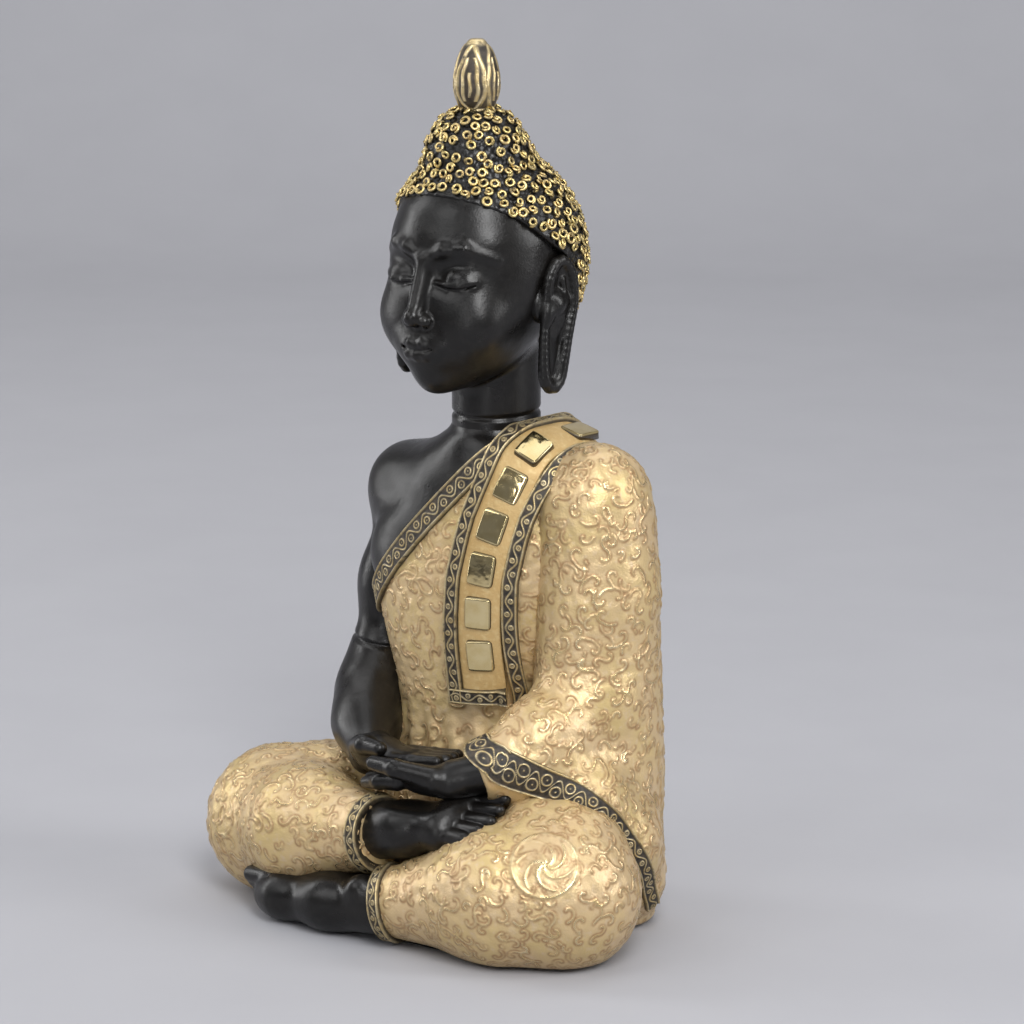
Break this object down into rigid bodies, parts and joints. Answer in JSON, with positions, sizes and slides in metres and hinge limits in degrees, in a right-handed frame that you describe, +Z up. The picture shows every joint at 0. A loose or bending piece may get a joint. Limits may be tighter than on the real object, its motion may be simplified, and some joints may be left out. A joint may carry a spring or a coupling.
{
  "type": "seated buddha statue",
  "caption": "Cross-legged meditating statue with black skin, gilt curls, an embossed robe baring the right shoulder and a sash inlaid with mirror tiles.",
  "frame": {"origin": "centre of the footprint on the resting plane, under the felt", "axes": "+Z up from the felt to the finial, the figure faces -Y, its own left hand is on +X"},
  "size_m": [0.179, 0.1069, 0.3],
  "materials": {
    "black_resin": "satin black lacquer",
    "robe_resin": "peach paint with gilt dry-brushed on the raised scrolls",
    "sash_resin": "smooth peach paint",
    "gilt_trim": "black filigree with gilt on its high lines",
    "gilt_curl": "gilt rings",
    "gilt_finial": "gilt with black lines",
    "mirror_glass": "gold tinted mirror",
    "plate_plastic": "matt",
    "felt": "felt"
  },
  "bodies": {
    "root": {"base_plate": "plate_plastic", "felt_base_sheet": "felt", "flame_finial": "gilt_finial", "hair_cap": "black_resin", "hair_curls": "gilt_curl", "head_casting": "black_resin", "left_cuff_border": "gilt_trim", "left_foot": "black_resin", "left_hand": "black_resin", "left_leg_casting": "robe_resin", "left_sleeve": "robe_resin", "mirror_tile_1": "mirror_glass", "mirror_tile_2": "mirror_glass", "mirror_tile_3": "mirror_glass", "mirror_tile_4": "mirror_glass", "mirror_tile_5": "mirror_glass", "mirror_tile_6": "mirror_glass", "mirror_tile_7": "mirror_glass", "neckline_border": "gilt_trim", "right_arm": "black_resin", "right_cuff_border": "gilt_trim", "right_foot": "black_resin", "right_hand": "black_resin", "right_leg_casting": "robe_resin", "robe_wrap": "robe_resin", "sash_border_inner": "gilt_trim", "sash_border_outer": "gilt_trim", "sash_hem_back": "gilt_trim", "sash_hem_front": "gilt_trim", "sash_panel": "sash_resin", "seat_casting": "robe_resin", "sleeve_hem_border": "gilt_trim", "torso_casting": "black_resin"}
  },
  "joints": []
}
